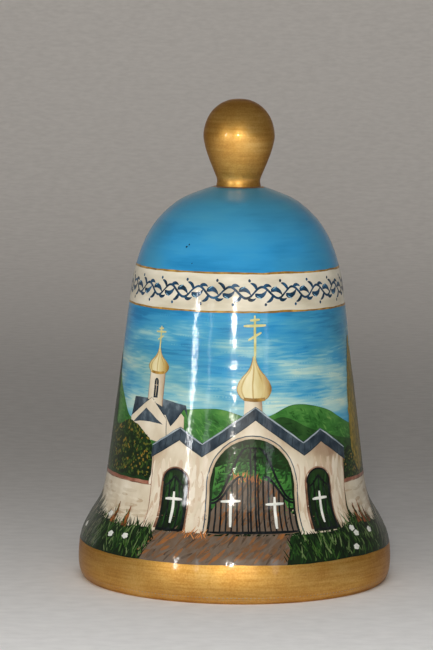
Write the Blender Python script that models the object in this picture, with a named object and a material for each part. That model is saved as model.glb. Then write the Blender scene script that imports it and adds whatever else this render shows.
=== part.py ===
"""A hand-painted porcelain bell, 110 mm tall, as a maker would assemble it.

A thin glazed shell stands on its rim. A slip-cast gilded knob sits over a short
spigot on its crown. Inside the knob, the head of a brass eye pin turns on a
washer, and the pin passes down through a bush in the crown. A wire rod hangs
from the pin's eye and carries a porcelain bead between two ferrules, which is
the clapper. Metres, +Z up, origin at the centre of the rim's resting face.
"""

import math

import bmesh
import bpy
import numpy as np
from mathutils import Matrix, Vector

MM = 0.001
GAP = 0.3 * MM  # left between pieces that touch

# Bell shell: the outer line is the list below, and the wall follows it inside.
WALL_AT_CROWN = 3.4 * MM
WALL_AT_RIM = 2.6 * MM
SHELL_LINE = (  # (radius, height) in mm, from the knob's flat seat to the foot's flat ring
    (5.4, 90.1), (7.9, 89.3), (13.2, 87.0), (17.5, 83.4), (20.3, 79.6),
    (22.3, 75.2), (23.7, 70.2), (24.6, 64.5), (25.5, 57.2), (26.6, 47.6),
    (27.8, 38.0), (29.0, 28.4), (29.9, 22.0), (31.0, 18.2), (33.2, 14.5),
    (34.9, 11.2), (35.8, 8.0), (36.1, 5.0), (36.0, 2.6), (35.5, 0.9), (34.7, 0.0),
)
SEAT_HEIGHT = SHELL_LINE[0][1] * MM
FOOT_INNER = 32.9 * MM  # the unglazed ring that the bell stands on, 1.8 mm wide
INSIDE_START = 4 * MM  # the inner line starts this far above the foot

# Crown spigot and hole
SPIGOT_RADIUS = 3.0 * MM
SPIGOT_TOP = 92.0 * MM
HOLE_RADIUS = 1.9 * MM

# Knob, cast hollow
KNOB_BORE = SPIGOT_RADIUS + GAP
KNOB_LINE = (  # (radius, height) in mm, from the top to the neck's foot
    (0.0, 110.0), (2.3, 109.75), (4.4, 108.8), (6.2, 107.2), (7.5, 104.9), (8.15, 101.9),
    (7.75, 99.2), (6.8, 96.3), (5.7, 93.6), (4.95, 91.6), (5.1, 90.4),
)
KNOB_HOLLOW = (  # the same from the bore's upper end to the hollow's top
    (3.3, 94.6), (4.2, 96.6), (5.5, 99.2), (5.9, 102.0), (4.6, 105.6), (0.0, 107.6),
)

# Eye pin, washer and bush
WIRE_RADIUS = 0.6 * MM
EYE_RADIUS = 2.2 * MM  # to the middle of the wire
BUSH_RADIUS = HOLE_RADIUS - GAP
BUSH_BORE = WIRE_RADIUS + GAP
BUSH_FLANGE_RADIUS = 3.2 * MM
BUSH_FLANGE = 1.0 * MM
CEILING = SEAT_HEIGHT - WALL_AT_CROWN - 0.2 * MM
WASHER_RADIUS = KNOB_BORE - 1.3 * GAP
WASHER_THICKNESS = 0.5 * MM
PIN_HEAD_RADIUS = 1.9 * MM
PIN_HEAD = 1.0 * MM
PIN_EYE_HEIGHT = 81.3 * MM  # the middle of the pin's eye
SWING_HEIGHT = PIN_EYE_HEIGHT - EYE_RADIUS  # the clapper turns about this wire

# Clapper
ROD_EYE_HEIGHT = SWING_HEIGHT + 2 * WIRE_RADIUS + GAP - EYE_RADIUS
BEAD_RADIUS = 7.5 * MM
BEAD_HEIGHT = 19 * MM  # the middle of the bead
BEAD_BORE = WIRE_RADIUS + GAP
BEAD_FLAT = 1.6 * MM  # radius of the flat at each end of the bore
FERRULE_RADIUS = 1.5 * MM
FERRULE_LENGTH = 2.0 * MM
ROD_END = 8.6 * MM

SHELL_STEPS = 64
KNOB_STEPS = 32
BEAD_STEPS = 32
SMALL_STEPS = 24
WIRE_SIDES = 3  # a curve's bevel resolution: ten sides


def clear_scene():
    for item in list(bpy.data.objects):
        bpy.data.objects.remove(item, do_unlink=True)


def finish_of(name, colour, roughness, metallic=0.0):
    """A Principled material from an sRGB colour in hex."""
    material = bpy.data.materials.new(name)
    material.use_nodes = True
    shader = material.node_tree.nodes["Principled BSDF"]
    parts = [int(colour[i : i + 2], 16) / 255 for i in (0, 2, 4)]
    linear = [p / 12.92 if p <= 0.04045 else ((p + 0.055) / 1.055) ** 2.4 for p in parts]
    shader.inputs["Base Color"].default_value = (*linear, 1)
    shader.inputs["Roughness"].default_value = roughness
    shader.inputs["Metallic"].default_value = metallic
    return material


def add_object(name, mesh, material):
    """Puts a mesh in the scene, smooth but with its real edges kept sharp."""
    mesh.materials.append(material)
    mesh.shade_smooth()
    mesh.set_sharp_from_angle(angle=math.radians(35))
    item = bpy.data.objects.new(name, mesh)
    bpy.context.scene.collection.objects.link(item)
    return item


def smooth_line(points_mm, count):
    """Evenly spaced points, in metres, on a Catmull-Rom curve through the given ones."""
    knots = np.array(points_mm) * MM
    ends = np.vstack([2 * knots[0] - knots[1], knots, 2 * knots[-1] - knots[-2]])
    t = np.linspace(0, 1, 24, endpoint=False)[:, None]
    dense = []
    for a, b, c, d in zip(ends, ends[1:], ends[2:], ends[3:]):
        bend = (c - a) * t + (2 * a - 5 * b + 4 * c - d) * t**2 + (3 * b - a - 3 * c + d) * t**3
        dense.append(b + bend / 2)
    dense = np.vstack([*dense, knots[-1]])
    along = np.concatenate([[0], np.cumsum(np.linalg.norm(np.diff(dense, axis=0), axis=1))])
    places = np.linspace(0, along[-1], count)
    return np.column_stack([np.interp(places, along, dense[:, i]) for i in (0, 1)])


def turned(outline, steps, closed=True):
    """A mesh turned round Z from (radius, height) points, a loop or a line from pole to pole."""
    shape = bmesh.new()
    ring = [shape.verts.new((radius, 0, height)) for radius, height in outline]
    pairs = zip(ring, ring[1:] + ring[:1]) if closed else zip(ring, ring[1:])
    edges = [shape.edges.new(pair) for pair in pairs]
    bmesh.ops.spin(
        shape, geom=ring + edges, cent=(0, 0, 0), axis=(0, 0, 1), dvec=(0, 0, 0),
        angle=2 * math.pi, steps=steps, use_duplicate=False,
    )
    bmesh.ops.remove_doubles(shape, verts=shape.verts, dist=1e-7)
    bmesh.ops.recalc_face_normals(shape, faces=shape.faces)
    mesh = bpy.data.meshes.new("turned")
    shape.to_mesh(mesh)
    shape.free()
    return mesh


def tube_ring(inner, outer, low, high):
    """The outline of a plain ring, such as a washer."""
    return [(inner, low), (outer, low), (outer, high), (inner, high)]


def wire_mesh(points):
    """A closed round wire along the given points."""
    path = bpy.data.curves.new("wire", "CURVE")
    path.dimensions = "3D"
    path.bevel_depth = WIRE_RADIUS
    path.bevel_resolution = WIRE_SIDES
    path.use_fill_caps = True
    spline = path.splines.new("POLY")
    spline.points.add(len(points) - 1)
    for place, point in zip(points, spline.points):
        point.co = (*place, 1)
    helper = bpy.data.objects.new("wire_helper", path)
    bpy.context.scene.collection.objects.link(helper)
    mesh = bpy.data.meshes.new_from_object(helper.evaluated_get(bpy.context.evaluated_depsgraph_get()))
    bpy.data.objects.remove(helper)
    shape = bmesh.new()
    shape.from_mesh(mesh)
    bmesh.ops.remove_doubles(shape, verts=shape.verts, dist=1e-7)
    bmesh.ops.recalc_face_normals(shape, faces=shape.faces)
    shape.to_mesh(mesh)
    shape.free()
    return mesh


def eye_points(middle, start_deg, turn_deg, across):
    """Points round a bent eye. across is the level direction that its plane holds."""
    points = []
    for step in range(21):
        angle = math.radians(start_deg + turn_deg * step / 20)
        level = EYE_RADIUS * math.cos(angle)
        points.append(Vector(across) * level + Vector((0, 0, middle + EYE_RADIUS * math.sin(angle))))
    return points


def shell_outline():
    """The shell's wall as one loop: down the outside, over the foot, up the inside, out of the hole."""
    outside = smooth_line(SHELL_LINE, 30)
    fine = smooth_line(SHELL_LINE, 400)
    along = np.gradient(fine, axis=0)
    inward = np.column_stack([along[:, 1], -along[:, 0]])
    inward /= np.linalg.norm(inward, axis=1)[:, None]
    share = fine[:, 1] / SEAT_HEIGHT
    wall = WALL_AT_RIM + (WALL_AT_CROWN - WALL_AT_RIM) * share
    inside = fine + inward * wall[:, None]
    clear_of_foot = (fine[:, 1] > INSIDE_START) & (inside[:, 0] > BUSH_FLANGE_RADIUS + 2 * MM)
    inside = inside[clear_of_foot]
    inside = inside[np.linspace(len(inside) - 1, 0, 18).astype(int)]
    return [
        *map(tuple, outside),
        (FOOT_INNER, 0),
        *map(tuple, inside),
        (BUSH_FLANGE_RADIUS + MM, CEILING),
        (HOLE_RADIUS, CEILING),
        (HOLE_RADIUS, SPIGOT_TOP),
        (SPIGOT_RADIUS, SPIGOT_TOP),
        (SPIGOT_RADIUS, SEAT_HEIGHT),
    ]


def make_shell():
    porcelain = finish_of("glazed_porcelain", "3C8DC0", 0.12)
    add_object("bell_shell", turned(shell_outline(), SHELL_STEPS), porcelain)


def make_knob():
    outside = smooth_line(KNOB_LINE, 20)
    hollow = smooth_line(KNOB_HOLLOW, 9)
    outline = [*map(tuple, outside), (KNOB_BORE, KNOB_LINE[-1][1] * MM), *map(tuple, hollow)]
    gilding = finish_of("gilded_porcelain", "B4872F", 0.35, 0.8)
    add_object("knob", turned(outline, KNOB_STEPS, closed=False), gilding)


def make_crown_fittings():
    """The top-hat bush in the crown's hole, and the washer on the spigot."""
    flange_top = CEILING - GAP
    flange_low = flange_top - BUSH_FLANGE
    washer_low = SPIGOT_TOP + GAP
    bush = [
        (BUSH_BORE, flange_low),
        (BUSH_FLANGE_RADIUS, flange_low),
        (BUSH_FLANGE_RADIUS, flange_top),
        (BUSH_RADIUS, flange_top),
        (BUSH_RADIUS, SPIGOT_TOP),
        (BUSH_BORE, SPIGOT_TOP),
    ]
    add_object("crown_bush", turned(bush, SMALL_STEPS), finish_of("nylon", "D9D2C0", 0.45))
    washer = tube_ring(BUSH_BORE, WASHER_RADIUS, washer_low, washer_low + WASHER_THICKNESS)
    add_object("head_washer", turned(washer, SMALL_STEPS), finish_of("brass_washer", "B08D4A", 0.3, 1))


def make_eye_pin():
    """A riveted head on a wire that goes down the bush and is bent into an eye below the crown."""
    head_low = SPIGOT_TOP + 2 * GAP + WASHER_THICKNESS
    top = Vector((0, 0, head_low + PIN_HEAD / 2))
    bend = Vector((0, 0, PIN_EYE_HEIGHT + EYE_RADIUS + WIRE_RADIUS / 2))
    wire = wire_mesh([top, bend, *eye_points(PIN_EYE_HEIGHT, 80, -310, (1, 0, 0))])
    pin = add_object("eye_pin", wire, finish_of("brass_wire", "B8924C", 0.28, 1))
    head = [(0, head_low), (PIN_HEAD_RADIUS, head_low), (PIN_HEAD_RADIUS, head_low + PIN_HEAD * 0.7),
            (PIN_HEAD_RADIUS * 0.7, head_low + PIN_HEAD), (0, head_low + PIN_HEAD)]
    cap = add_object("pin_head_helper", turned(head, SMALL_STEPS, closed=False), pin.data.materials[0])
    cap.hide_render = True
    cap.display_type = "WIRE"
    join = pin.modifiers.new("head", "BOOLEAN")
    join.operation = "UNION"
    join.object = cap


def make_clapper():
    """The rod with its bent eye, the bead, and the crimped ferrule on each side of the bead."""
    brass = finish_of("brass_ferrule", "B08D4A", 0.3, 1)
    bend = Vector((0, 0, ROD_EYE_HEIGHT - EYE_RADIUS - WIRE_RADIUS / 2))
    eye = eye_points(ROD_EYE_HEIGHT, -100, -310, (0, 1, 0))
    rod = wire_mesh([Vector((0, 0, ROD_END)), bend, *eye])
    add_object("clapper_rod", rod, finish_of("brass_rod", "B8924C", 0.28, 1))
    end = math.acos(BEAD_FLAT / BEAD_RADIUS)
    angles = np.linspace(-end, end, 15)
    ball = [(BEAD_RADIUS * math.cos(a), BEAD_HEIGHT + BEAD_RADIUS * math.sin(a)) for a in angles]
    bead = [(BEAD_BORE, ball[0][1]), *ball, (BEAD_BORE, ball[-1][1])]
    add_object("clapper_bead", turned(bead, BEAD_STEPS), finish_of("white_porcelain", "E9E4DA", 0.15))
    upper_low = ball[-1][1] + GAP
    lower_low = ball[0][1] - GAP - FERRULE_LENGTH
    for name, low in (("upper_ferrule", upper_low), ("lower_ferrule", lower_low)):
        ring = tube_ring(BUSH_BORE, FERRULE_RADIUS, low, low + FERRULE_LENGTH)
        add_object(name, turned(ring, SMALL_STEPS), brass)


def put_origins_on_joints():
    """The pin turns about Z at the crown. The rod swings about the wire of the pin's eye."""
    places = {
        "eye_pin": PIN_EYE_HEIGHT,
        "clapper_rod": SWING_HEIGHT,
        "upper_ferrule": SWING_HEIGHT,
        "lower_ferrule": SWING_HEIGHT,
        "clapper_bead": BEAD_HEIGHT,
    }
    for name, height in places.items():
        item = bpy.data.objects[name]
        item.data.transform(Matrix.Translation((0, 0, -height)))
        item.location = (0, 0, height)
    helper = bpy.data.objects["pin_head_helper"]
    helper.parent = bpy.data.objects["eye_pin"]
    helper.data.transform(Matrix.Translation((0, 0, -PIN_EYE_HEIGHT)))


clear_scene()
make_shell()
make_knob()
make_crown_fittings()
make_eye_pin()
make_clapper()
put_origins_on_joints()
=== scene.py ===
import math

import bmesh
import bpy
import numpy as np
from mathutils import Matrix, Vector, noise
from mathutils.geometry import delaunay_2d_cdt


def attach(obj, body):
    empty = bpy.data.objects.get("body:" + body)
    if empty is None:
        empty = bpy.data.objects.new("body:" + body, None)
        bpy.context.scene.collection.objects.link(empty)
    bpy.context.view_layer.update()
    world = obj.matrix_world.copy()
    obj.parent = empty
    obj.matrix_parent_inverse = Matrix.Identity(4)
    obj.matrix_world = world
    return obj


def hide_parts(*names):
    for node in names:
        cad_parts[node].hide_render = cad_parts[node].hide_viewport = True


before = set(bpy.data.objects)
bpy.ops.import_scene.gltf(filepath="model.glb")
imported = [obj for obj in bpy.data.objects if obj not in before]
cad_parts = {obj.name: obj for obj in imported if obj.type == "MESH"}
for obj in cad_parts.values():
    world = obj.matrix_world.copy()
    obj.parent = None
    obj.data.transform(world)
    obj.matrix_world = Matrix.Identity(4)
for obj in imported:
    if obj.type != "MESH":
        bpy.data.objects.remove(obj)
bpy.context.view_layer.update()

MM = 0.001
scene = bpy.context.scene
scene.view_settings.view_transform = "Standard"

# --------------------------------------
# Camera: a long lens at table distance, a little above the bell's shoulder and looking slightly
# down, with the bell a touch right of the middle and leaning by about half a degree.
IMAGE_TALL = 650
FOCAL = 2967.6 / IMAGE_TALL  # in image heights
CAMERA_FAR = 677.8 * MM
CAMERA_HIGH = 131.7 * MM
CAMERA_LEFT = 4.7 * MM
CAMERA_DOWN = math.radians(6.2)
CAMERA_ROLL = math.radians(0.6)
camera_data = bpy.data.cameras.new("camera")
camera_data.sensor_fit = "VERTICAL"
camera_data.sensor_height = 24
camera_data.lens = 24 * FOCAL
camera_data.clip_start = 0.01
camera = bpy.data.objects.new("camera", camera_data)
scene.collection.objects.link(camera)
look = Matrix.Rotation(math.pi / 2 - CAMERA_DOWN, 4, "X") @ Matrix.Rotation(CAMERA_ROLL, 4, "Z")
camera.matrix_world = Matrix.Translation((-CAMERA_LEFT, -CAMERA_FAR, CAMERA_HIGH)) @ look
scene.camera = camera

# --------------------------------------
# Studio: a pale matt card that lies flat under the bell and curves up behind it, so that no
# horizon shows. It is painted on one side, so the bell can also be looked at from below.
CARD_HALF = 2.2
CARD_FRONT = -1.6
CARD_BEND_START = 0.7
CARD_BEND = 0.5
CARD_TOP = 1.7
CARD_BEND_CUTS = 16


def add(tree, kind, feeds=None, stops=(), **settings):
    """A new node with its settings. A feed is a value, a socket or a node, stops are hex colours.
    A kind that names no family, such as Math, is a shader node."""
    made = tree.nodes.new(kind if "Node" in kind else "ShaderNode" + kind)
    for key, value in settings.items():
        setattr(made, key, value)
    for socket, value in (feeds or {}).items():
        if isinstance(value, bpy.types.Node):
            value = next(way for way in value.outputs if way.enabled)
        if isinstance(value, bpy.types.NodeSocket):
            tree.links.new(value, made.inputs[socket])
        else:
            made.inputs[socket].default_value = value
    for i, (place, colour) in enumerate(stops):
        marks = made.color_ramp.elements
        mark = marks[i] if i < len(marks) else marks.new(place)
        mark.position, mark.color = place, linear(colour)
    return made


def linear(colour):
    """An sRGB hex colour as linear RGBA."""
    parts = [int(colour[i : i + 2], 16) / 255 for i in (0, 2, 4)]
    return (*[p / 12.92 if p <= 0.04045 else ((p + 0.055) / 1.055) ** 2.4 for p in parts], 1)


def surface(name, roughness, metallic=0.0, coat=0.0, coat_roughness=0.06):
    """A new material's tree and shader. The uniform numbers sit on the shader's own sockets."""
    made = bpy.data.materials.new(name)
    made.use_nodes = True
    shader = made.node_tree.nodes["Principled BSDF"]
    shader.inputs["Roughness"].default_value = roughness
    shader.inputs["Metallic"].default_value = metallic
    shader.inputs["Coat Weight"].default_value = coat
    shader.inputs["Coat Roughness"].default_value = coat_roughness
    return made, made.node_tree, shader.inputs


bend = [
    (CARD_BEND_START + CARD_BEND * math.sin(a), CARD_BEND - CARD_BEND * math.cos(a))
    for a in np.linspace(0, math.pi / 2, CARD_BEND_CUTS + 1)
]
profile = [(CARD_FRONT, 0), *bend, (CARD_BEND_START + CARD_BEND, CARD_TOP)]
card_mesh = bpy.data.meshes.new("pale_card")
card_mesh.from_pydata(
    [(x, y, z) for y, z in profile for x in (-CARD_HALF, CARD_HALF)],
    [],
    [(2 * i, 2 * i + 1, 2 * i + 3, 2 * i + 2) for i in range(len(profile) - 1)],
)
card_mesh.shade_smooth()
card = bpy.data.objects.new("pale_card", card_mesh)
scene.collection.objects.link(card)
matt_card, tree, shader = surface("matt_card", 0.9)
fibre = add(tree, "TexNoise", {"Scale": 900.0, "Detail": 3.0})
tone = add(tree, "ValToRGB", {"Fac": fibre}, [(0.3, "DEDCDA"), (0.7, "E8E6E4")])
tree.links.new(tone.outputs[0], shader["Base Color"])
one_sided = add(
    tree, "MixShader",
    {
        0: add(tree, "NewGeometry").outputs["Backfacing"],
        1: tree.nodes["Principled BSDF"],
        2: add(tree, "BsdfTransparent"),
    },
)
tree.links.new(one_sided.outputs[0], tree.nodes["Material Output"].inputs["Surface"])
card_mesh.materials.append(matt_card)


def soft_light(name, turn, far, high, size, power, colour, mirrored=True, aim=(0, 0, 0.05), cone=180):
    """A rectangular light, turned round the bell from the front by degrees, that faces the waist
    unless it is aimed elsewhere. Its light stays inside a cone of that many degrees."""
    data = bpy.data.lights.new(name, "AREA")
    data.shape = "RECTANGLE"
    data.size, data.size_y = size
    data.energy = power
    data.color = linear(colour)[:3]
    data.spread = math.radians(cone)
    made = bpy.data.objects.new(name, data)
    turn = math.radians(turn)
    made.location = (far * math.sin(turn), -far * math.cos(turn), high)
    made.rotation_euler = (Vector(aim) - made.location).to_track_quat("-Z", "Y").to_euler()
    made.visible_glossy = mirrored
    made.visible_camera = False
    scene.collection.objects.link(made)


# The key gives the soft shading and the front glow the gilding's broad shine. The lamp beside the
# lens and the narrow panels draw the upright lights in the varnish. The last two are for the card.
soft_light("key_light", -14, 1.0, 0.24, (0.5, 0.4), 2.5, "FFF8EC", mirrored=False)
soft_light("front_glow", 4, 1.0, 0.20, (0.45, 0.4), 1.25, "FFF6E6")
soft_light("lens_lamp", -2.6, 0.74, 0.165, (0.02, 0.05), 0.72, "FFF9EE")
soft_light("left_panel", -43, 0.8, 0.15, (0.03, 0.16), 0.86, "FFFFFF")
soft_light("left_glow", -27, 0.8, 0.15, (0.03, 0.20), 0.13, "F2F7FF")
soft_light("right_glow", 29, 0.8, 0.15, (0.06, 0.24), 0.14, "F2F7FF")
soft_light("floor_light", 0, 0.5, 0.85, (1.0, 0.4), 3.9, "FAFCFF", False, (0, -0.5, 0), 66)
soft_light("back_light", 180, 0.35, 0.8, (1.2, 0.4), 0.7, "FFF8F0", False, (0, 1.1, 0.1), 100)
room = bpy.data.worlds.new("pale_room")
room.use_nodes = True
backdrop = room.node_tree.nodes["Background"].inputs
backdrop["Color"].default_value = linear("D8D5D2")
backdrop["Strength"].default_value = 0.20
scene.world = room

# --------------------------------------
# Bell shell: slip-cast porcelain, fired with a clear glaze, then painted all over the outside.
# The wall is turned from one outline. The inside stays white, and the foot ring is bare.
OUTLINE = (  # (radius, height) in mm, from the knob's seat down to the foot ring
    (5.4, 90.1), (7.9, 89.3), (13.2, 87.0), (17.5, 83.4), (20.3, 79.6),
    (22.3, 75.2), (23.7, 70.2), (24.6, 64.5), (25.5, 57.2), (26.6, 47.6),
    (27.8, 38.0), (29.0, 28.4), (29.9, 22.0), (31.0, 18.2), (33.2, 14.5),
    (34.9, 11.2), (35.7, 8.0), (36.0, 5.0), (35.9, 2.6), (35.4, 0.9), (34.7, 0.0),
)
WALL_AT_CROWN = 3.4
WALL_AT_RIM = 2.6
FOOT_INNER = 32.9
NECK_INNER = 4.2  # radius of the ceiling's flat, round the hole
SPIGOT = (3.0, 92.0)  # radius, height
HOLE = 1.9


def smooth_line(points, count):
    """Evenly spaced points on a Catmull-Rom curve through the given ones."""
    knots = np.array(points, float)
    ends = np.vstack([2 * knots[0] - knots[1], knots, 2 * knots[-1] - knots[-2]])
    t = np.linspace(0, 1, 24, endpoint=False)[:, None]
    dense = []
    for a, b, c, d in zip(ends, ends[1:], ends[2:], ends[3:]):
        bend = (c - a) * t + (2 * a - 5 * b + 4 * c - d) * t**2 + (3 * b - a - 3 * c + d) * t**3
        dense.append(b + bend / 2)
    dense = np.vstack([*dense, knots[-1]])
    along = np.concatenate([[0], np.cumsum(np.linalg.norm(np.diff(dense, axis=0), axis=1))])
    places = np.linspace(0, along[-1], count)
    return np.column_stack([np.interp(places, along, dense[:, i]) for i in range(dense.shape[1])])


outside = smooth_line(OUTLINE, 170)
tangent = np.gradient(outside, axis=0)
outward = np.column_stack([-tangent[:, 1], tangent[:, 0]])
outward /= np.linalg.norm(outward, axis=1)[:, None]
wall = WALL_AT_RIM + (WALL_AT_CROWN - WALL_AT_RIM) * outside[:, 1] / OUTLINE[0][1]
inside = outside - outward * wall[:, None]
inside = inside[(outside[:, 1] > 4) & (inside[:, 0] > 5.3)][::-1]
ceiling = OUTLINE[0][1] - WALL_AT_CROWN - 0.2
wall_line = [
    *outside,
    (FOOT_INNER, 0),
    (FOOT_INNER + 0.05, 1.2),
    *inside,
    (NECK_INNER, ceiling), (HOLE, ceiling), (HOLE, SPIGOT[1]), SPIGOT, (SPIGOT[0], OUTLINE[0][1]),
]


def wheel_tree():
    """Turns a line of points, held in the XZ plane, round the Z axis as on a potter's wheel."""
    tree = bpy.data.node_groups.new("turned_on_a_wheel", "GeometryNodeTree")
    for name, kind, way in (
        ("Outline", "NodeSocketGeometry", "INPUT"),
        ("Steps", "NodeSocketInt", "INPUT"),
        ("Clay", "NodeSocketMaterial", "INPUT"),
        ("Turned", "NodeSocketGeometry", "OUTPUT"),
    ):
        tree.interface.new_socket(name, in_out=way, socket_type=kind)
    given = add(tree, "NodeGroupInput").outputs
    count = add(tree, "GeometryNodeAttributeDomainSize", {"Geometry": given["Outline"]})
    columns = add(tree, "Math", {0: given["Steps"], 1: 1.0}, operation="ADD")
    grid = add(tree, "GeometryNodeMeshGrid", {"Vertices X": columns, "Vertices Y": count})
    index = add(tree, "GeometryNodeInputIndex")
    place = add(tree, "Math", {0: index, 1: count}, operation="MODULO")
    share = add(tree, "Math", {0: index, 1: count}, operation="DIVIDE")
    column = add(tree, "Math", {0: share}, operation="FLOOR")
    turn = add(tree, "Math", {0: column, 1: 2 * math.pi}, operation="MULTIPLY")
    turn = add(tree, "Math", {0: turn, 1: given["Steps"]}, operation="DIVIDE")
    point = add(
        tree, "GeometryNodeSampleIndex",
        {"Geometry": given["Outline"], "Value": add(tree, "GeometryNodeInputPosition"), "Index": place},
        data_type="FLOAT_VECTOR",
    )
    turned = add(tree, "VectorRotate", {"Vector": point, "Angle": turn}, rotation_type="Z_AXIS")
    moved = add(tree, "GeometryNodeSetPosition", {"Geometry": grid, "Position": turned})
    joined = add(tree, "GeometryNodeMergeByDistance", {"Geometry": moved, "Distance": 1e-6})
    real = add(tree, "GeometryNodeRealizeInstances", {"Geometry": joined})
    clad = add(tree, "GeometryNodeSetMaterial", {"Geometry": real, "Material": given["Clay"]})
    add(tree, "NodeGroupOutput", {"Turned": clad})
    return tree


WHEEL = wheel_tree()


def run_tree(name, start, tree, values, finish):
    """A plain mesh object from a Geometry Nodes tree run on a starting mesh."""
    holder = bpy.data.objects.new(name + "_start", start)
    scene.collection.objects.link(holder)
    modifier = holder.modifiers.new("make", "NODES")
    modifier.node_group = tree
    for socket in tree.interface.items_tree:
        if socket.in_out == "INPUT" and socket.name in values:
            modifier[socket.identifier] = values[socket.name]
    ready = holder.evaluated_get(bpy.context.evaluated_depsgraph_get())
    mesh = bpy.data.meshes.new_from_object(ready)
    mesh.name = name
    mesh.materials.clear()
    mesh.materials.append(finish)
    bpy.data.objects.remove(holder)
    made = bpy.data.objects.new(name, mesh)
    scene.collection.objects.link(made)
    return made


def turned_piece(name, outline_mm, steps, clay, closed=True):
    """A turned piece from its outline in mm, a loop or a line that starts and ends on the axis."""
    line = bpy.data.meshes.new(name + "_outline")
    places = [(radius * MM, 0, height * MM) for radius, height in outline_mm]
    if closed:
        places.append(places[0])
    line.from_pydata(places, [(i, i + 1) for i in range(len(places) - 1)], [])
    made = run_tree(name, line, WHEEL, {"Steps": steps, "Clay": clay}, clay)
    shape = bmesh.new()
    shape.from_mesh(made.data)
    bmesh.ops.dissolve_degenerate(shape, dist=1e-8, edges=shape.edges)
    bmesh.ops.recalc_face_normals(shape, faces=shape.faces)
    shape.to_mesh(made.data)
    shape.free()
    made.data.shade_smooth()
    made.data.set_sharp_from_angle(angle=math.radians(38))
    return made


VARNISH = 0.55  # the lacquer's share of the shine
WETTED = 0.1  # what is left of the paint's own shine under it


def varnish(tree, shader, place):
    """A thick clear lacquer brushed over the paint. Its fine unevenness breaks up each highlight."""
    # Real brush ripple is about 0.1 mm; it is drawn at 0.4 mm so that it shows.
    ripple = add(tree, "TexNoise", {"Vector": place, "Scale": 2400.0, "Detail": 2.0})
    wave = add(tree, "TexNoise", {"Vector": place, "Scale": 420.0, "Detail": 1.0})
    both = add(tree, "Math", {0: wave, 1: 5.0, 2: ripple}, operation="MULTIPLY_ADD")
    skin = add(tree, "Bump", {"Strength": 1.0, "Distance": 0.000014, "Height": both})
    tree.links.new(skin.outputs[0], shader["Coat Normal"])


def brush_marks(tree, place, marks, detail=4.0):
    """Streaks drawn one way. marks is their number to the metre along X, Y and Z."""
    drawn = add(tree, "Mapping", {"Vector": place, "Scale": marks})
    return add(tree, "TexNoise", {"Vector": drawn, "Scale": 1.0, "Detail": detail})


def sky_enamel(name, own_tint):
    """Blue overglaze enamel: a plain crown, painted darker towards its top as shade, then banks of cloud
    in level strokes down to a haze.
    """
    made, tree, shader = surface(name, 0.34, coat=VARNISH)
    shader["Specular IOR Level"].default_value = WETTED
    place = add(tree, "TexCoord").outputs["Object"]
    height = add(tree, "SeparateXYZ", {0: place}).outputs["Z"]
    haze = add(
        tree, "MapRange",
        {"Value": height, "From Min": 0.064, "From Max": 0.046, "To Min": 0.14, "To Max": 0.56},
    )
    cloudy = add(tree, "MapRange", {"Value": height, "From Min": 0.068, "From Max": 0.058, "To Min": 0.3})
    layers = []
    for size, detail, cut, low, high in (
        ((62, 62, 230), 3.0, 0.34, -0.26, 0.28),  # banks of cloud
        ((80, 80, 1500), 4.0, 0.3, -0.09, 0.09),  # the brush's streaks
    ):
        drawn = brush_marks(tree, place, size, detail)
        layers.append(add(
            tree, "MapRange",
            {"Value": drawn, "From Min": cut, "From Max": 1 - cut, "To Min": low, "To Max": high},
        ))
    drawn = add(tree, "Math", {0: layers[0], 1: layers[1]}, operation="ADD")
    if own_tint:
        own = add(tree, "Attribute", attribute_name="tint").outputs["Fac"]
        own = add(tree, "Math", {0: own, 1: -0.45}, operation="ADD")
        drawn = add(tree, "Math", {0: own, 1: own_tint, 2: drawn}, operation="MULTIPLY_ADD")
    factor = add(tree, "Math", {0: drawn, 1: cloudy, 2: haze}, operation="MULTIPLY_ADD")
    wash = add(tree, "ValToRGB", {"Fac": factor}, [
        (0.0, "1B78AE"), (0.15, "2F8FC4"), (0.35, "469CC4"), (0.6, "7FBACA"), (0.8, "ABCFCC"),
        (1.0, "CDDCCA"),
    ])
    drift_and_crown_shade = add(tree, "TexNoise", {"Vector": place, "Scale": 38.0, "Detail": 2.0})
    drift_and_crown_shade = add(
        tree, "MapRange",
        {"Value": drift_and_crown_shade, "From Min": 0.45, "From Max": 0.75, "To Min": 0.0, "To Max": 0.55},
    )
    # Painted shade: from 77 mm up the wash is mixed more and more towards a deep teal, so the crown darkens
    # towards its top. The random green drift shares this mix.
    top = add(tree, "MapRange", {"Value": height, "From Min": 0.077, "From Max": 0.090, "To Max": 0.6})
    drift_and_crown_shade = add(tree, "Math", {0: drift_and_crown_shade, 1: top}, operation="MAXIMUM")
    tinted_and_shaded_wash = add(tree, "Mix", {0: drift_and_crown_shade, 6: wash, 7: linear("4A8486")}, data_type="RGBA")
    tree.links.new(tinted_and_shaded_wash.outputs[2], shader["Base Color"])
    varnish(tree, shader, place)
    return made


sky_wash = sky_enamel("sky_wash_enamel", 0.0)


def mottled(name, roughness, marks, detail, stops, coat=0.0):
    """A plain finish with a faint mottle, its marks numbered to the metre."""
    made, tree, shader = surface(name, roughness, coat=coat)
    place = add(tree, "TexCoord").outputs["Object"]
    mottle = add(tree, "TexNoise", {"Vector": place, "Scale": marks, "Detail": detail})
    tone = add(tree, "ValToRGB", {"Fac": mottle}, stops)
    tree.links.new(tone.outputs[0], shader["Base Color"])
    return made, tree, shader, place


# White glaze pools a little unevenly, which gives the inside a soft depth. Bare bisque on the foot
# ring is matt, and rubbed slightly grey by the table.
white_glaze, *_ = mottled(
    "clear_glaze_on_porcelain", 0.12, 70.0, 3.0, [(0.3, "DCD9D1"), (0.7, "EDEBE5")], coat=0.4
)
bisque, *_ = mottled("bare_bisque", 0.75, 1800.0, 2.0, [(0.35, "C9C1B2"), (0.6, "DED8CC")])

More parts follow.
